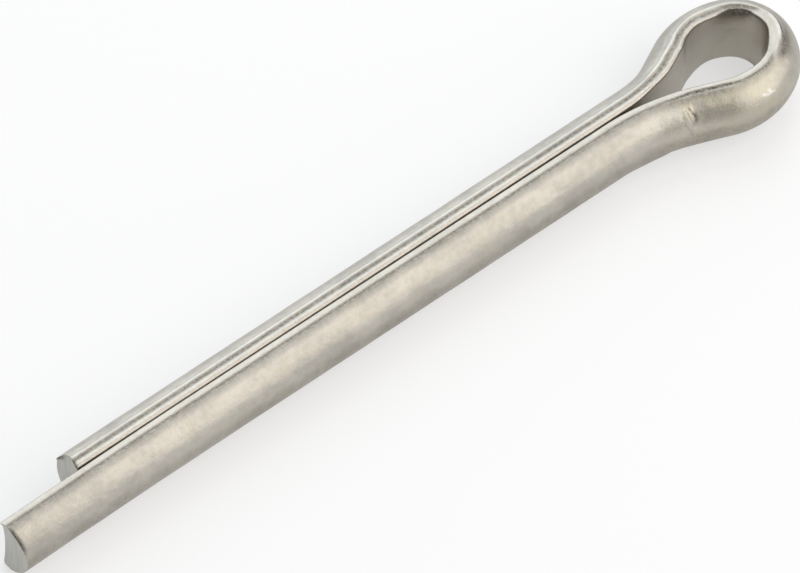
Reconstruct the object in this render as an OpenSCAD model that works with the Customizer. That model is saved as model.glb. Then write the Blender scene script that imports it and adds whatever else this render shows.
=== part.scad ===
// Split cotter pin: one length of half-round wire folded into an eye, with its two legs
// lying flat against flat to make a round shank. The pin lies on its side, so the eye's
// loop is in the XY plane. Origin: on the shank's axis, where the eye starts to open.
// +X runs to the eye, the leg ends are at -X, the longer leg is at -Y. Sizes in mm.

/* [Shank] */
// Diameter across the two legs laid together
shank_diameter = 4.6; // [4.45:0.05:5.2]
// Clear gap between the legs' flat faces
leg_gap = 0.08; // [0.04:0.02:0.3]
// Width of a leg across its two flattened edges
flat_width = 4.37; // [4:0.01:4.4]

/* [Legs] */
// Length of the longer leg, from the origin to its end
long_leg = 46.5; // [42:0.5:70]
// Length of the shorter leg, from the origin to its end
short_leg = 40.7; // [30:0.5:41.5]
// Slant of the longer leg's sheared end, in degrees
long_end_slant = 9; // [0:1:20]
// Slant of the shorter leg's sheared end, in degrees
short_end_slant = 3; // [0:1:20]

/* [Eye crown] */
// Inside radius of the crown, the far end of the eye
crown_radius = 2.07; // [1.9:0.05:2.6]
// Angle that the crown's bend covers on each side of the axis, in degrees
crown_angle = 62; // [50:1:70]

/* [Eye, longer leg's side] */
// Inside radius of the eye's side
long_side_radius = 3.79; // [3:0.05:4.5]
// Angle at which the flank leaves the shank, in degrees
long_flare = 22.5; // [18:0.5:24]
// Radius of the bend at the neck, on the leg's flat face
long_neck_radius = 16.9; // [9:0.5:19]

/* [Eye, shorter leg's side] */
// Inside radius of the eye's side
short_side_radius = 3.67; // [3:0.05:4.5]
// Angle at which the flank leaves the shank, in degrees
short_flare = 27; // [24:0.5:30]
// Radius of the bend at the neck, on the leg's flat face
short_neck_radius = 10; // [6:0.5:12]

/* [Bends] */
// How much the wire is drawn in on each face where the neck and the eye's sides are bent
bend_draw = 0.02; // [0.01:0.01:0.05]

/* [Hidden] */
$fn = 96;
// A bend runs this far on inside the straight or the crown that it joins
lap = 0.1;
wire_radius = shank_diameter / 2;
half_gap = leg_gap / 2;
half_flat = flat_width / 2;

// Where each side's bends meet, from its radii and angles: [x, y] seen from the crown's centre
function side_centre(side_r) = [(crown_radius - side_r) * cos(crown_angle),
                                (crown_radius - side_r) * sin(crown_angle)];
function side_end(side_r, flare) = side_centre(side_r) + side_r * [-sin(flare), cos(flare)];
function neck_rise(neck_r, flare) = half_gap + neck_r * (1 - cos(flare));
function flank(side_r, flare, neck_r) = (side_end(side_r, flare)[1] - neck_rise(neck_r, flare)) / sin(flare);
function neck_start(side_r, flare, neck_r) = side_end(side_r, flare)[0]
    - flank(side_r, flare, neck_r) * cos(flare) - neck_r * sin(flare);

// The crown's centre stands this far from the origin, where the longer leg's neck starts
crown_x = -neck_start(long_side_radius, long_flare, long_neck_radius);

// The wire's cross-section: a half disc with its two sharp edges rolled flat.
// The first axis points away from the flat face, and 0 is the shank's axis.
module wire_section(drawn = 0) {
    intersection() {
        circle(r = wire_radius - drawn);
        translate([half_gap + drawn, drawn - half_flat])
            square([shank_diameter, flat_width - 2 * drawn]);
    }
}

// A bend of the drawn wire about the Z axis, from angle 0, running on by the lap at both ends.
// Its flat face has radius r, and faces the axis if inwards is 1 or away from it if -1.
module bent_wire(r, sweep, inwards) {
    over = lap / r * 180 / PI;
    rotate([0, 0, -over])
        rotate_extrude(angle = sweep + 2 * over)
            translate([r - inwards * half_gap, 0])
                mirror([inwards < 0 ? 1 : 0, 0]) wire_section(bend_draw);
}

// The section turned to stand across the X axis, with its flat face at y = 0
module straight_wire(length) {
    rotate([90, 0, 90])
        linear_extrude(length)
            translate([-half_gap, 0]) wire_section();
}

// A leg, its neck, its flank and its side of the eye, on the +Y side
module half_pin(leg, slant, side_r, flare, neck_r) {
    run = flank(side_r, flare, neck_r);
    start = crown_x + neck_start(side_r, flare, neck_r);
    centre = side_centre(side_r);

    // the leg, cut off by a shear at its end
    difference() {
        translate([-leg - 2, half_gap, 0])
            straight_wire(leg + 2 + start);
        translate([-leg, 0, 0])
            rotate([0, 0, -slant])
                translate([-20, -10, -10]) cube([20, 20, 20]);
    }
    // the neck, bent outwards
    translate([start, half_gap + neck_r, 0])
        rotate([0, 0, -90])
            bent_wire(neck_r, flare, -1);
    // the straight flank
    translate([start + neck_r * sin(flare), neck_rise(neck_r, flare), 0])
        rotate([0, 0, flare])
            straight_wire(run);
    // the side of the eye
    translate([crown_x + centre[0], centre[1], 0])
        rotate([0, 0, crown_angle])
            bent_wire(side_r, 90 + flare - crown_angle, 1);
}

// The whole pin: both halves and the crown that joins them
module split_pin() {
    color([0.66, 0.65, 0.61]) {
        half_pin(short_leg, short_end_slant, short_side_radius, short_flare, short_neck_radius);
        mirror([0, 1, 0])
            half_pin(long_leg, long_end_slant, long_side_radius, long_flare, long_neck_radius);
        translate([crown_x, 0, 0])
            rotate([0, 0, -crown_angle])
                rotate_extrude(angle = 2 * crown_angle)
                    translate([crown_radius - half_gap, 0]) wire_section();
    }
}

split_pin();
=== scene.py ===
import bpy, bmesh, math
from mathutils import Matrix, Vector, noise


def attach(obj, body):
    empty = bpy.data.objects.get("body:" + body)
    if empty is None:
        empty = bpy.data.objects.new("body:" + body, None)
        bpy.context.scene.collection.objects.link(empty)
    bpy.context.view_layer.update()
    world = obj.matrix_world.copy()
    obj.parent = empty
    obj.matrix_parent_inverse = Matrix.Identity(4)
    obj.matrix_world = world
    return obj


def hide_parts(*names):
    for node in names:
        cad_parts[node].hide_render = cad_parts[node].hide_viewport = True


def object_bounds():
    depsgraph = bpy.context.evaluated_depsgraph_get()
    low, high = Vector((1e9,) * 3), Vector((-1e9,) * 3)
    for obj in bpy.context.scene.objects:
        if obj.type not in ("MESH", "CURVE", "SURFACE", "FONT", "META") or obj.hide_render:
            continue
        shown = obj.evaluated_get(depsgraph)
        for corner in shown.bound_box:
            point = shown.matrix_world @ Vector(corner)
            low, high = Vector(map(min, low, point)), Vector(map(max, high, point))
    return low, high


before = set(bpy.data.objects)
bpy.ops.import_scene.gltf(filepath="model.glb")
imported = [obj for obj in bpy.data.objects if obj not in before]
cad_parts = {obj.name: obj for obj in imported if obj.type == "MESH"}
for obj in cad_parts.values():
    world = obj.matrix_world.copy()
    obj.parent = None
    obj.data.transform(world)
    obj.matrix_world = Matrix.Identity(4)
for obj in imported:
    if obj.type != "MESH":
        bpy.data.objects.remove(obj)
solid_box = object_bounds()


# ---------------------------------------------------------------------------
# The pin: one length of half-round stainless wire, drawn as a half disc whose two sharp edges
# are rolled into narrow flats. It is folded round a mandrel at its middle to make the eye, its
# two legs are closed flat against flat and sheared to length, and it is tumbled to finish.
mm = 0.001

# the wire's section: x points away from the flat face and y up; 0 is the shank's centre
shank_radius = 2.3 * mm
half_gap = 0.04 * mm
rolled_height = 2.185 * mm
corner_rounding = 0.16 * mm
section_middle = 0.95 * mm

pin = bmesh.new()
bmesh.ops.create_circle(pin, cap_ends=True, radius=shank_radius, segments=160)


def cut_section(at, towards, keep_beyond=False):
    """Cut the section's face by a line, and throw away what lies beyond it unless it is kept."""
    whole = pin.verts[:] + pin.edges[:] + pin.faces[:]
    bmesh.ops.bisect_plane(pin, geom=whole, dist=1e-7, plane_co=at, plane_no=towards,
                           clear_outer=not keep_beyond, clear_inner=False)


cut_section((half_gap, 0, 0), (-1, 0, 0))
cut_section((0, rolled_height, 0), (0, 1, 0))
cut_section((0, -rolled_height, 0), (0, -1, 0))
# close lines on the rolled edges, which carry a groove and a lip, and a few down the flat face
lines_apart = 0.05
for line in range(6, 20):
    cut_section((lines_apart * line * mm, 0, 0), (1, 0, 0), keep_beyond=True)
for level in (-1.9, -1.5, -1.0, -0.5, 0, 0.5, 1.0, 1.5, 1.9):
    cut_section((0, level * mm, 0), (0, 1, 0), keep_beyond=True)
bmesh.ops.dissolve_faces(pin, faces=pin.faces[:])
corners = [v for v in pin.verts if v.co.x < half_gap + 0.01 * mm and abs(v.co.y) > 2.1 * mm]
bmesh.ops.bevel(pin, geom=corners, offset=corner_rounding, offset_type='OFFSET',
                affect='VERTICES', segments=4, profile=0.5, material=-1)
bmesh.ops.delete(pin, geom=pin.faces[:], context='FACES_ONLY')

# what each point carries for its finish and its painted light: how far it is round the section
# and along the wire from the crown's middle, both in millimetres, and how much of each mark it
# bears
round_it = pin.verts.layers.float.new("round_it")
along = pin.verts.layers.float.new("along")
flat_side = pin.verts.layers.float.new("flat_side")
rolled = pin.verts.layers.float.new("rolled")
sheared = pin.verts.layers.float.new("sheared")
# dark is mostly painted shade, with scratches and a worn patch; bright is mostly painted highlight,
# with a nick
dark = pin.verts.layers.float.new("dark")
bright = pin.verts.layers.float.new("bright")

# the bends: a leg, a neck bent outwards, a short straight flank and one side of the eye, then
# the crown and the other side, flank, neck and leg. Both legs lie along X, with the eye at +X
long_leg = 46.20 * mm
short_leg = 40.52 * mm
sheared_tip = 0.7 * mm
tip_approach = 3 * mm
crown_radius = 2.07 * mm
crown_angle = 62
short_side_radius, short_flare, short_neck_radius = 3.67 * mm, 27.0, 10.0 * mm
long_side_radius, long_flare, long_neck_radius = 3.79 * mm, 22.5, 16.9 * mm


def flank_length(side_radius, flare, neck_radius):
    """The straight between a neck and the eye's side that lets both sides meet the crown."""
    high = (crown_radius - side_radius) * math.sin(math.radians(crown_angle))
    high += side_radius * math.cos(math.radians(flare)) - half_gap
    high -= neck_radius * (1 - math.cos(math.radians(flare)))
    return high / math.sin(math.radians(flare))


def half_length(side_radius, flare, neck_radius):
    """From a neck's start to the crown's centre, along X."""
    lean = math.radians(flare)
    back = (crown_radius - side_radius) * math.cos(math.radians(crown_angle))
    back -= side_radius * math.sin(lean)
    return (neck_radius * math.sin(lean) - back
            + flank_length(side_radius, flare, neck_radius) * math.cos(lean))


short_half = half_length(short_side_radius, short_flare, short_neck_radius)
long_half = half_length(long_side_radius, long_flare, long_neck_radius)
short_neck_start = long_half - short_half

# the section stands at the shorter leg's end, and the wire is drawn on from there
stand_up = Matrix(((0, 0, 1), (1, 0, 0), (0, 1, 0))).to_4x4()
placed = Matrix.Translation((-short_leg, 0, 0)) @ stand_up
bmesh.ops.transform(pin, matrix=placed, verts=pin.verts[:])
here = Vector((-short_leg, half_gap, 0))
heading = 0.0
drawn = 0.0
first_ring = pin.edges[:]
ring = first_ring
# each ring's points, where its section stands, how much wire is drawn, and on an end face
# the ring's share of the whole section
rings = [(pin.verts[:], placed, 0.0, None)]


def grow_ring(edges):
    """Extrude a ring of edges on the spot, and give the new ring's edges and points."""
    grown = bmesh.ops.extrude_edge_only(pin, edges=edges)["geom"]
    fresh = [g for g in grown if isinstance(g, bmesh.types.BMVert)]
    held = set(fresh)
    return [g for g in grown if isinstance(g, bmesh.types.BMEdge) and g.verts[0] in held
            and g.verts[1] in held], fresh


def draw_out(move, travel):
    """Draw the wire on by one short step: the last ring is extruded and carried along."""
    global ring, drawn, placed
    ring, fresh = grow_ring(ring)
    bmesh.ops.transform(pin, matrix=move, verts=fresh)
    drawn += travel
    placed = move @ placed
    rings.append((fresh, placed, drawn, None))


def run_straight(length, steps):
    """A straight stretch of wire."""
    global here
    ahead = Vector((math.cos(heading), math.sin(heading), 0))
    done = 0.0
    for i in range(1, steps + 1):
        reach = length * (i / steps)
        draw_out(Matrix.Translation(ahead * (reach - done)), reach - done)
        done = reach
    here += ahead * length


def bend(degrees, radius, steps):
    """A bend of the flat face's line: to the left, away from the flat, if degrees is over 0."""
    global here, heading
    turn = math.radians(degrees)
    left = Vector((-math.sin(heading), math.cos(heading), 0))
    centre = here + left * math.copysign(radius, degrees)
    to_centre, back_out = Matrix.Translation(-centre), Matrix.Translation(centre)
    one_step = back_out @ Matrix.Rotation(turn / steps, 4, 'Z') @ to_centre
    for i in range(steps):
        draw_out(one_step, abs(turn) / steps * radius)
    here = back_out @ Matrix.Rotation(turn, 4, 'Z') @ to_centre @ here
    heading += turn


run_straight(sheared_tip, 14)
run_straight(tip_approach, 12)
run_straight(short_leg + short_neck_start - (sheared_tip + tip_approach), 66)
bend(short_flare, short_neck_radius, 32)
run_straight(flank_length(short_side_radius, short_flare, short_neck_radius), 10)
bend(-(90 + short_flare - crown_angle), short_side_radius, 36)
bend(-crown_angle, crown_radius, 36)
crown_middle = drawn
bend(-crown_angle, crown_radius, 36)
bend(-(90 + long_flare - crown_angle), long_side_radius, 44)
run_straight(flank_length(long_side_radius, long_flare, long_neck_radius), 14)
bend(long_flare * 0.4, long_neck_radius, 48)
bend(long_flare * 0.6, long_neck_radius, 26)
run_straight(long_leg - (sheared_tip + tip_approach), 66)
run_straight(tip_approach, 12)
run_straight(sheared_tip, 14)

# both ends are closed: a rounded rim, then rings that shrink to the middle of the face. Each
# ring has its share of the section and how far it stands proud, in millimetres
end_rings = ((0.992, 0.010), (0.972, 0.018), (0.94, 0.024), (0.85, 0.028), (0.73, 0.028),
             (0.58, 0.028), (0.43, 0.028), (0.28, 0.028), (0.12, 0.028))
for edge_ring, end, side in ((first_ring, rings[0], -1), (ring, rings[-1], 1)):
    at, travel = end[1], end[2]
    into = at.inverted()
    for e in edge_ring:
        e.smooth = False
    last_share = 1.0
    for share, proud in end_rings:
        edge_ring, fresh = grow_ring(edge_ring)
        for v in fresh:
            spot = into @ v.co
            spot.x = section_middle + (spot.x - section_middle) * share / last_share
            spot.y *= share / last_share
            spot.z = side * proud * mm
            v.co = at @ spot
        last_share = share
        rings.append((fresh, at, travel, share))
    bmesh.ops.contextual_create(pin, geom=edge_ring)


# the marks of rolling, bending, shearing and tumbling, with their painted shade and painted
# highlights, are worked in ring by ring, and all of their sizes are in millimetres
def swell(value, low, high):
    """A soft step from 0 to 1 as the value goes from low to high."""
    t = min(max((value - low) / (high - low), 0.0), 1.0)
    return t * t * (3 - 2 * t)


def hump(value, start, full, fade, end):
    """A soft rise from start to full and a soft fall from fade to end."""
    return swell(value, start, full) * (1 - swell(value, fade, end))


def past(low, high):
    """0 before a place along the wire and 1 after it. Both are measured from the crown."""
    return swell(from_crown, low, high)


def on_stretch(start, full, fade, end):
    """1 on a stretch of the wire and 0 off it. All four places are measured from the crown."""
    return hump(from_crown, start, full, fade, end)


def ridge(distance, half_width):
    """A rounded ridge: 1 on its line and 0 past its half width."""
    return max(0.0, 1 - (distance / half_width) ** 2) ** 2


def blob(distance, width):
    """A soft spot that fades with the distance from its middle."""
    return math.exp(-(distance / width) ** 2)


def beside(point, path):
    """How far a point is from a scratch drawn through a few places."""
    best = 9.0
    for a, b in zip(path[:-1], path[1:]):
        a, b = Vector(a), Vector(b)
        run = b - a
        t = min(max((point - a).dot(run) / run.length_squared, 0.0), 1.0)
        best = min(best, (point - a - run * t).length)
    return best


def mark(point, kind, strength):
    """Give a point a mark, unless it bears more of that mark already."""
    point[kind] = max(point[kind], strength)


# marks on the long leg's round side, as distance from the crown's middle and round from the
# top edge: the fold where the neck was bent, small scratches beside it and a nick on the eye
fold = [(8.46, 1.44), (8.29, 1.71), (8.14, 1.98), (8.12, 2.26), (8.24, 2.48)]
second_fold = [(8.95, 1.89), (8.90, 2.35), (8.68, 2.80), (8.51, 3.25)]
scratches = ([(8.90, 1.53), (8.79, 1.89)], [(8.68, 1.53), (8.57, 1.98)],
             [(8.57, 1.71), (8.51, 2.17)], [(8.79, 1.98), (8.68, 2.35)])
nicks = ([(4.14, 2.05), (3.90, 2.22), (3.58, 2.24)], [(3.80, 1.96), (3.74, 2.18)])

whole_length = drawn / mm
wire_radius = shank_radius / mm
wire_depth = (shank_radius - half_gap) / mm
middle_x = section_middle / mm
# how high the rolled edges stand and where they start, and the land and the lip on them
edge_height = 2.2
edge_from = 1.85
land_height = 2.19
lip_half_width = 0.17
full_lip = 0.045
# the way round the wire's round side, for one degree and from its top edge to its lower one
arc_of_degree = 0.0401
whole_arc = 7.22

for verts, at, travel, share in rings:
    into = at.inverted()
    from_crown = (travel - crown_middle) / mm
    from_end = min(travel / mm, whole_length - travel / mm)
    end_pull = 1 - swell(from_end, 0, 1.6)
    # the eye's wire was stretched: its inside lies further out and its outside further in, by
    # one amount at the top of the section and another at the bottom
    outwards = 0.34 * past(-3.4, -0.4) * (1 - past(0.1, 1.9))
    outwards += 0.14 * on_stretch(0.9, 2.2, 2.5, 4.6)
    outwards += (0.06 * on_stretch(-5.2, -4.3, -4.1, -3.2)
                 - 0.15 * on_stretch(-9.8, -7.8, -6.2, -5.0))
    lower_outwards = (-0.12 * on_stretch(-5.0, -2.0, 1.5, 4.5)
                      - 0.26 * on_stretch(-10.0, -7.0, -5.2, -2.8))
    slimmer = 0.24 * past(-12.1, -8.6) * (1 - past(-4.6, -0.4))
    slimmer += 0.04 * on_stretch(0.2, 1.4, 2.0, 3.5)
    # the gap is a little wider near the necks than at the ends of the legs, and the longer
    # leg springs off slightly where it stands past the shorter one
    parted = -0.004 - 0.02 * swell(abs(from_crown), 14, 50)
    parted *= swell(abs(from_crown), 9, 14)
    sprung = 0.10 * max(0.0, (from_crown - 47.5) / 10) ** 1.5
    # the rolled edge has a groove, which fades over the crown, and a lip beside it. They shift
    # and change in size on the eye's back and front arms
    back_arm = on_stretch(-11.0, -8.6, -3.4, -2.4)
    crown = on_stretch(-0.9, -0.3, 1.9, 2.8)
    front_arm = on_stretch(4.6, 5.8, 7.6, 9.5)
    front_side = past(1.9, 2.9)
    groove_at = 0.63 - 0.06 * back_arm - 0.15 * on_stretch(-4.5, -2.4, -1.2, -0.6)
    groove_at += 0.06 * on_stretch(1.4, 2.2, 2.6, 3.8) - 0.05 * front_side - 0.11 * front_arm
    groove_at += 0.05 * on_stretch(-10.0, -8.0, -7.0, -6.0)
    groove_half = 0.30 + 0.12 * back_arm - 0.18 * front_side
    groove_tail = 0.15 + 0.04 * back_arm + 0.14 * front_side
    groove_deep = (0.042 + 0.02 * back_arm - 0.012 * front_side + 0.01 * front_arm) * (1 - crown)
    wide_land = on_stretch(-0.9, 0.2, 1.0, 1.8)
    lip_at = 0.88 + 0.10 * on_stretch(-0.9, 0.3, 0.9, 1.6) - 0.05 * on_stretch(1.2, 1.7, 2.0, 3.0)
    lip_at += 0.05 * on_stretch(-10.0, -8.0, -6.2, -5.0)
    lip_high = 0.03 * (1 - past(1.4, 3.0)) * (1 - 0.8 * wide_land) + 0.012 * back_arm
    worn_through = on_stretch(-3.0, -1.8, -1.2, -0.6)

    for v in verts:
        spot = into @ v.co
        x, y = spot.x / mm, spot.y / mm
        up = abs(y)
        # a point of an end face is placed round the section as if on the whole section's rim
        full_x = middle_x + (x - middle_x) / share if share else x
        full_up = up / share if share else up
        degrees_round = math.degrees(math.atan2(full_x, full_up))
        around = arc_of_degree * degrees_round
        all_round = around if y > 0 else whole_arc - around
        on_wire = Vector((from_crown, all_round))
        inner = 1 - swell(x, 0.02, 0.30)
        v[along] = from_crown
        v[round_it] = around if full_x > 0.06 else -(edge_height - full_up)
        v[flat_side] = 0.0 if share else 1 - swell(full_x, 0.05, 0.10 + 0.15 * worn_through)

        # the rolled edges, top and bottom: bright inside the groove, painted shade in it, with a
        # painted highlight on the lip, slightly crowned, and worn through to the flat face at the
        # top of the eye, where it is painted dark
        if share is None and up > edge_from:
            groove = ridge(x - groove_at, groove_half if x < groove_at else groove_tail)
            sunk = groove * groove_deep
            if x > groove_at:
                long_tail = groove_deep * (1 - swell(x, groove_at, groove_at + 0.70))
                sunk += (long_tail - sunk) * front_side
            lip = ridge(x - lip_at, lip_half_width)
            worn = worn_through if y > 0 else 0.0
            mark(v, rolled, hump(x, 0.05, 0.12, groove_at - groove_half - 0.02, groove_at))
            mark(v, rolled, crown * hump(x, 0.05, 0.12, lip_at, lip_at + 0.18))
            v[rolled] *= 1 - 0.55 * past(-3.0, 0.0)
            # painted shade on the groove's tail along the front arm, on the crown's inner edge and
            # on a patch of its land
            tail_dark = 0.14 * front_side + 0.38 * on_stretch(4.9, 6.2, 9.0, 10.5)
            crown_patch = on_stretch(-1.0, -0.5, 0.2, 0.9) * hump(x, 0.28, 0.45, 0.85, 1.0)
            mark(v, dark, min(1.0, groove * (1 - crown) * (0.75 + 0.45 * front_arm)))
            mark(v, dark, 0.80 * worn * hump(x, -0.10, -0.02, 0.55, 0.80))
            mark(v, dark, 0.22 * crown * (1 - swell(x, 0.08, 0.38)))
            mark(v, dark, 0.16 * crown_patch)
            mark(v, dark, tail_dark * hump(x, 0.38, 0.54, 0.84, 1.30))
            # painted highlights on the lip and on the crown's outer edge
            mark(v, bright, 0.5 * lip * lip_high / full_lip)
            mark(v, bright, 0.45 * wide_land * hump(x, 0.60, 0.84, 0.92, 1.02))
            crowned = min(((x - 0.33) / 0.27) ** 2, 1.0) * (1 - swell(x, groove_at, 0.9))
            crowned *= (0.03 - 0.02 * front_side) * (1 - crown)
            raised = lip * lip_high - sunk - crowned - 0.12 * worn * inner ** 2
            if x > 0.5:
                raised += wide_land * (land_height - up) * (1 - swell(x, 0.92, 1.30))
            spot.y += (raised if y > 0 else -raised) * mm

        leaning = lower_outwards + (outwards - lower_outwards) * swell(y, -2.2, 1.4)
        spot.x += (leaning - (leaning + slimmer) * x / wire_depth + parted + sprung) * mm
        if y > 0:
            spot.x += 0.16 * worn_through * inner * swell(full_up, 1.2, 2.1) * mm

        # the neck's fold: a crease with a hollow before it and a slight swelling behind, and
        # lower down a small kink. The crease, the scratches and the hollow get painted shade, the
        # swelling a painted highlight
        if 5 < from_crown < 14 and x > 0.8 and y > -1.6 and share is None:
            lower = swell(on_wire.y, 1.5, 2.2)
            crease = blob(beside(on_wire, fold), 0.06 + 0.08 * lower)
            second = blob(beside(on_wire, second_fold), 0.12)
            scored = max(blob(beside(on_wire, scratch), 0.05) for scratch in scratches)
            depth = 0.014 * crease + 0.006 * second + 0.003 * scored
            depth += 0.07 * on_stretch(5.4, 7.9, 8.1, 8.35) * hump(on_wire.y, 0.9, 2.2, 3.8, 5.0)
            depth -= 0.035 * on_stretch(8.3, 8.9, 9.2, 10.8) * hump(on_wire.y, 0.8, 1.8, 3.2, 4.6)
            kink = hump(on_wire.y, 3.5, 4.2, 4.8, 5.3)
            depth += 0.04 * on_stretch(8.4, 9.2, 9.7, 10.2) * kink
            depth -= 0.05 * on_stretch(9.9, 10.7, 11.8, 14.0) * kink
            shade = on_stretch(5.6, 6.8, 8.4, 9.2) * (1 - swell(on_wire.y, 0.95, 1.7))
            # a painted highlight where the swelling catches the light
            swelling_highlight = on_stretch(8.5, 9.2, 10.5, 13.5) * hump(on_wire.y, 0.75, 1.15, 1.9, 2.8)
            mark(v, dark, max((0.8 + 0.3 * lower) * crease, 0.32 * second, 0.4 * scored))
            mark(v, dark, 0.28 * shade)
            mark(v, bright, 0.30 * swelling_highlight * (1 - v[dark]))
            spot.x -= depth * x / wire_radius * mm
            spot.y -= depth * y / wire_radius * mm

        # the nick on the eye, and a dull patch on the crown's shoulder with a painted dark
        # reflection
        if 2.8 < from_crown < 5.0 and y > 0 and share is None:
            nick = max(blob(beside(on_wire, path), 0.07) for path in nicks)
            mark(v, bright, nick)
            spot.x += 0.012 * nick * mm
        if 0 < from_crown < 3 and y > 0 and x > 0.7:
            dark_reflection = on_stretch(0.4, 1.4, 1.9, 2.6) * blob(around - 1.40 + 0.14 * from_crown, 0.32)
            mark(v, dark, 0.75 * dark_reflection)

        # the sheared ends: the longer one pulled out at its corners, with a small spur, and
        # rolled over along the top of its round side; the shorter one with a burr. Both get a line
        # of painted shade along the top edge
        if end_pull > 0:
            rim = 1 - swell(from_end, 0, 0.35)
            outer = swell(share or 1.0, 0.8, 0.95)
            if from_crown > 0:
                pull = (0.17 if y > 0 else 0.20) * (up / edge_height) ** 2 + 0.06
                pull += 0.15 * blob(math.hypot(full_x - 0.12, y - 2.15), 0.24) * rim
                over = hump(degrees_round, 10, 26, 52, 80) if y > 0 else 0.0
                line_width = 0.06 + 0.10 * over
            else:
                pull = (0.20 * blob(full_x, 0.6) - 0.10) * max(0.0, y) / edge_height
                pull += 0.14 * max(0.0, -y) / edge_height
                pull += 0.42 * blob(degrees_round - 52, 6) * rim * outer * (1 if y > 0 else 0)
                pull = -pull
                over = hump(full_x, 0.0, 0.15, 0.5, 0.9) * swell(y, 1.7, 2.0)
                line_width = 0.06
            sunk = 0.035 * over * (1 - swell(from_end, 0, 0.2)) * outer
            spot.z += pull * end_pull * mm
            spot.x -= sunk * (x - 0.5) / 2 * mm
            spot.y -= sunk * y / wire_radius * mm
            over *= blob(from_end, line_width) if share is None else swell(share, 0.93, 0.97)
            # painted shade along the rolled-over edge
            mark(v, dark, 1.5 * over)
            v[sheared] = 0.0 if share is None else swell(1 - share, 0.0, 0.05)

        # the underside gets painted shade, which also makes it a little rougher, and the side above
        # it a painted sheen
        if share is None and x > 0.3:
            underside_shade = 0.16 + 0.06 * past(4, 7) + 0.10 * on_stretch(1.5, 4, 9, 12)
            side_sheen = 0.19 * past(4, 8) * hump(all_round, 1.9, 2.4, 2.9, 3.3)
            side_sheen += 0.14 * past(9, 13) * hump(all_round, 0.75, 0.95, 1.2, 1.5)
            side_sheen += 0.10 * (1 - past(-8, -4)) * hump(all_round, 0.9, 1.2, 3.0, 3.6)
            mark(v, dark, underside_shade * hump(all_round, 3.1, 3.7, 6.4, 7.2))
            mark(v, bright, side_sheen)

        # drawing and tumbling leave the surface slightly uneven
        if share is None and x > 0.9:
            lower_half = 9 if y < 0 else 0
            uneven = Vector((from_crown * 0.45, around * 0.9 + lower_half, 4.0))
            spot.x += 0.018 * noise.noise(uneven) * mm
        v.co = at @ spot
bmesh.ops.recalc_face_normals(pin, faces=pin.faces[:])


def by_points(element):
    """A number made of the lowest points of an edge or a face, to sort it by."""
    number = 0
    for index in sorted(v.index for v in element.verts)[:3]:
        number = number * len(pin.verts) + index
    return number


# extruding leaves edges and faces in no fixed order, so each run sorts them the same way
pin.verts.index_update()
pin.edges.sort(key=by_points)
pin.faces.sort(key=by_points)

shape = bpy.data.meshes.new("split_pin_wire")
pin.to_mesh(shape)
pin.free()
for p in shape.polygons:
    p.use_smooth = True
wire = bpy.data.objects.new("split_pin_wire", shape)
bpy.context.scene.collection.objects.link(wire)
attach(wire, "root")
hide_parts("split_pin")

steel = bpy.data.materials.new("tumbled_stainless")
steel.use_nodes = True
nodes, links = steel.node_tree.nodes, steel.node_tree.links
surface = nodes["Principled BSDF"]
surface.inputs["Metallic"].default_value = 1.0


def read_mark(name):
    """A number that each point of the wire carries, such as how far round the section it is."""
    carried = nodes.new("ShaderNodeAttribute")
    carried.attribute_name = name
    return carried.outputs["Fac"]


def figure(operation, first, second):
    """One sum on two numbers or sockets."""
    sum_node = nodes.new("ShaderNodeMath")
    sum_node.operation = operation
    for socket, value in zip(sum_node.inputs, (first, second)):
        if isinstance(value, (int, float)):
            socket.default_value = value
        else:
            links.new(value, socket)
    return sum_node.outputs[0]


def slope(value, low, high, start=0.0, end=1.0):
    """A soft step from start to end as the value goes from low to high."""
    ramp = nodes.new("ShaderNodeMapRange")
    ramp.interpolation_type = 'SMOOTHSTEP'
    links.new(value, ramp.inputs["Value"])
    for name, number in (("From Min", low), ("From Max", high), ("To Min", start), ("To Max", end)):
        ramp.inputs[name].default_value = number
    return ramp.outputs["Result"]


def scaled(where, scale):
    """A place scaled along X, Y and Z."""
    mapping = nodes.new("ShaderNodeMapping")
    mapping.inputs["Scale"].default_value = scale
    links.new(where, mapping.inputs["Vector"])
    return mapping.outputs["Vector"]


def grain(where, scale, detail=2.0, roughness=0.5):
    """A noise pattern, read at the given place."""
    pattern = nodes.new("ShaderNodeTexNoise")
    links.new(where, pattern.inputs["Vector"])
    pattern.inputs["Scale"].default_value = scale
    pattern.inputs["Detail"].default_value = detail
    pattern.inputs["Roughness"].default_value = roughness
    return pattern.outputs["Fac"]


def tint(below, above, share):
    """One colour laid over another by a share; either may be a socket or a plain colour."""
    mix = nodes.new("ShaderNodeMix")
    mix.data_type = 'RGBA'
    for socket, value in ((mix.inputs[6], below), (mix.inputs[7], above)):
        if isinstance(value, tuple):
            socket.default_value = (*value, 1)
        else:
            links.new(value, socket)
    links.new(share, mix.inputs[0])
    return mix.outputs[2]


def height(pattern, depth, under=None):
    """A pattern raised by a depth in metres, on top of the last one."""
    relief = nodes.new("ShaderNodeBump")
    relief.inputs["Strength"].default_value = 1.0
    relief.inputs["Distance"].default_value = depth
    links.new(pattern, relief.inputs["Height"])
    if under is not None:
        links.new(under, relief.inputs["Normal"])
    return relief.outputs["Normal"]


# the patterns, all in millimetres: clouds, blotches and pits from tumbling, and fine lines
# along the wire from drawing it
place = scaled(nodes.new("ShaderNodeTexCoord").outputs["Object"], (1000, 1000, 1000))
with_wire = nodes.new("ShaderNodeCombineXYZ")
links.new(figure('MULTIPLY', read_mark("round_it"), 5.0), with_wire.inputs[0])
links.new(figure('MULTIPLY', read_mark("along"), 0.22), with_wire.inputs[1])
clouds = grain(place, 0.34, 2.0)
blotches = grain(place, 1.1, 3.0, 0.6)
pits = grain(place, 7.0, 3.0, 0.65)
draw_lines = grain(with_wire.outputs[0], 1.0, 3.0, 0.6)
specks = slope(grain(place, 5.5, 3.0, 0.7), 0.40, 0.60)
shear_lines = grain(scaled(place, (0.3, 2.6, 0.45)), 1.0, 3.0, 0.6)

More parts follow.
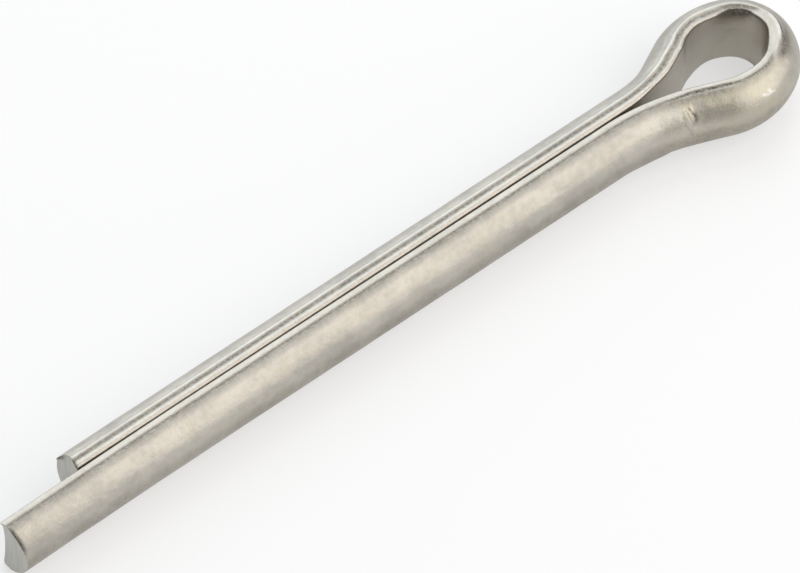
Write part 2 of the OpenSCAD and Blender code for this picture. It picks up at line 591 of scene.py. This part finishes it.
# bare tumbled steel, mottled, a shade warmer here and there
dull_steel, light_steel = (0.38, 0.357, 0.315), (0.485, 0.456, 0.403)
warm_steel = (0.46, 0.428, 0.345)
tone = figure('ADD', figure('MULTIPLY', clouds, 0.45), figure('MULTIPLY', blotches, 0.30))
tone = figure('ADD', tone, figure('MULTIPLY', grain(place, 2.4, 2.0), 0.25))
colour = tint(dull_steel, light_steel, slope(tone, 0.38, 0.62))
warm_spots = slope(grain(place, 0.8, 2.0), 0.5, 0.7)
colour = tint(colour, warm_steel, figure('MULTIPLY', warm_spots, 0.45))

# the round side of the eye's longer half is yellower, in patches
yellow_steel = (0.49, 0.457, 0.357)
worked = figure('MULTIPLY', slope(read_mark("along"), 1.5, 4.0),
                slope(read_mark("along"), 8.5, 12.0, 1.0, 0.0))
worked = figure('MULTIPLY', worked, slope(read_mark("round_it"), 0.5, 1.0))
patches = slope(grain(place, 1.5, 2.0), 0.38, 0.62, 0.15, 0.75)
colour = tint(colour, yellow_steel, figure('MULTIPLY', worked, patches))

# the flat face, the rolled edges, the dark marks (mostly painted shade) and the bright marks
# (mostly painted highlights), and the sheared ends
flat_steel = (0.44, 0.41, 0.355)
rolled_steel = (0.57, 0.528, 0.462)
# painted shade, with the dark of the scratches and the worn patch
painted_shade_and_wear = (0.115, 0.102, 0.083)
# painted highlights, with bright scuffs such as the nick
highlight_and_scuff_steel = (0.74, 0.73, 0.69)
sheared_steel = tint((0.475, 0.47, 0.435), (0.525, 0.52, 0.482), slope(shear_lines, 0.36, 0.64))
colour = tint(colour, flat_steel, read_mark("flat_side"))
colour = tint(colour, rolled_steel,
              figure('MULTIPLY', read_mark("rolled"), slope(pits, 0.35, 0.62, 1.0, 0.55)))
colour = tint(colour, painted_shade_and_wear,
              figure('MULTIPLY', read_mark("dark"), slope(specks, 0.0, 1.0, 1.0, 0.5)))
colour = tint(colour, highlight_and_scuff_steel,
              figure('MULTIPLY', read_mark("bright"), slope(pits, 0.3, 0.7, 0.9, 0.6)))
not_darkened = figure('SUBTRACT', 1.0, read_mark("dark"))
colour = tint(colour, sheared_steel, figure('MULTIPLY', read_mark("sheared"), not_darkened))
links.new(colour, surface.inputs["Base Color"])

# duller where it is blotched, sheared or dark
dullness = figure('ADD', 0.33, figure('MULTIPLY', blotches, 0.14))
dullness = figure('ADD', dullness, figure('MULTIPLY', read_mark("sheared"), 0.10))
dullness = figure('ADD', dullness, figure('MULTIPLY', read_mark("dark"), 0.15))
links.new(dullness, surface.inputs["Roughness"])

# drawing lines, pits that are twice as deep on the rolled edges, and low dents
pitted = figure('MULTIPLY', pits, figure('ADD', 1.0, read_mark("rolled")))
relief = height(draw_lines, 0.008 * mm)
relief = height(pitted, 0.014 * mm, relief)
relief = height(blotches, 0.036 * mm, relief)
links.new(relief, surface.inputs["Normal"])
shape.materials.append(steel)


# ---------------------------------------------------------------------------
# The floor: a plain pale table under the pin, covered with white paper. It isn't part of the
# object. It lies at the solid's lowest point and keeps the pin's soft shadow.
floor_mesh = bpy.data.meshes.new("table")
slab = bmesh.new()
bmesh.ops.create_grid(slab, x_segments=1, y_segments=1, size=1.5)
bmesh.ops.translate(slab, verts=slab.verts[:], vec=(0, 0, solid_box[0][2]))
slab.to_mesh(floor_mesh)
slab.free()
table = bpy.data.objects.new("table", floor_mesh)
bpy.context.scene.collection.objects.link(table)

paper = bpy.data.materials.new("white_paper")
paper.use_nodes = True
nodes, links = paper.node_tree.nodes, paper.node_tree.links
sheet = nodes["Principled BSDF"]
sheet.inputs["Base Color"].default_value = (0.97, 0.97, 0.97, 1)
sheet.inputs["Roughness"].default_value = 0.9
sheet.inputs["Specular IOR Level"].default_value = 0.0
# the lens and the steel see a share of the paper as plain white
white_share = 0.55
glow = nodes.new("ShaderNodeEmission")
glow.inputs["Color"].default_value = (1, 1, 1, 1)
glow.inputs["Strength"].default_value = 1.0
rays = nodes.new("ShaderNodeLightPath").outputs
seen = figure('MAXIMUM', rays["Is Camera Ray"], rays["Is Glossy Ray"])
seen = figure('MAXIMUM', seen, rays["Is Transmission Ray"])
blend = nodes.new("ShaderNodeMixShader")
links.new(figure('MULTIPLY', seen, white_share), blend.inputs[0])
links.new(sheet.outputs[0], blend.inputs[1])
links.new(glow.outputs[0], blend.inputs[2])
links.new(blend.outputs[0], nodes["Material Output"].inputs["Surface"])
floor_mesh.materials.append(paper)


# ---------------------------------------------------------------------------
# The light: two large soft boxes, one low at the front right and one high behind, and a weaker
# one overhead, in an evenly lit pale room. All of them face the pin's middle.
pin_middle = Vector((-0.015, 0, 0))


def soft_box(name, direction, distance, width, length, power, colour):
    """A rectangular lamp that faces the pin from the given direction."""
    lamp = bpy.data.lights.new(name, 'AREA')
    lamp.shape = 'RECTANGLE'
    lamp.size, lamp.size_y = width, length
    lamp.energy = power
    lamp.color = colour
    box = bpy.data.objects.new(name, lamp)
    away = Vector(direction).normalized()
    box.location = pin_middle + away * distance
    box.rotation_euler = away.to_track_quat('Z', 'Y').to_euler()
    bpy.context.scene.collection.objects.link(box)


soft_box("front_box", (0.52, -0.66, 0.55), 0.5, 0.62, 0.56, 1.95, (1.0, 0.965, 0.93))
soft_box("back_box", (0.36, 0.74, 0.56), 0.6, 0.62, 0.80, 2.75, (0.87, 0.94, 1.0))
soft_box("top_box", (0.15, 0.05, 1.0), 0.6, 0.60, 0.60, 0.80, (1.0, 0.98, 0.95))

room = bpy.data.worlds.new("room")
bpy.context.scene.world = room
room.use_nodes = True
room_light = room.node_tree.nodes["Background"]
room_light.inputs["Color"].default_value = (0.26, 0.26, 0.26, 1)
room_light.inputs["Strength"].default_value = 1.0
bpy.context.scene.view_settings.view_transform = 'Standard'


# ---------------------------------------------------------------------------
# The camera: a long lens above the leg ends, looking along the pin to the eye. It is turned
# round the pin, raised, and tipped by a hair.
aimed_at = Vector((-0.01639, -0.00047, 0))
lens_distance = 0.50936
turn, rise, tip = math.radians(-38.72), math.radians(54.26), math.radians(-0.17)
lens = bpy.data.cameras.new("camera")
lens.sensor_width = 36
lens.lens = 377.8
lens.clip_start, lens.clip_end = 0.01, 20
camera = bpy.data.objects.new("camera", lens)
away = Vector((math.sin(turn) * math.cos(rise), -math.cos(turn) * math.cos(rise), math.sin(rise)))
aside = Vector((math.cos(turn), math.sin(turn), 0))
top = away.cross(aside)
right = aside * math.cos(tip) + top * math.sin(tip)
upward = top * math.cos(tip) - aside * math.sin(tip)
stand = Matrix((right, upward, away)).transposed().to_4x4()
stand.translation = aimed_at + away * lens_distance
camera.matrix_world = stand
bpy.context.scene.collection.objects.link(camera)
bpy.context.scene.camera = camera
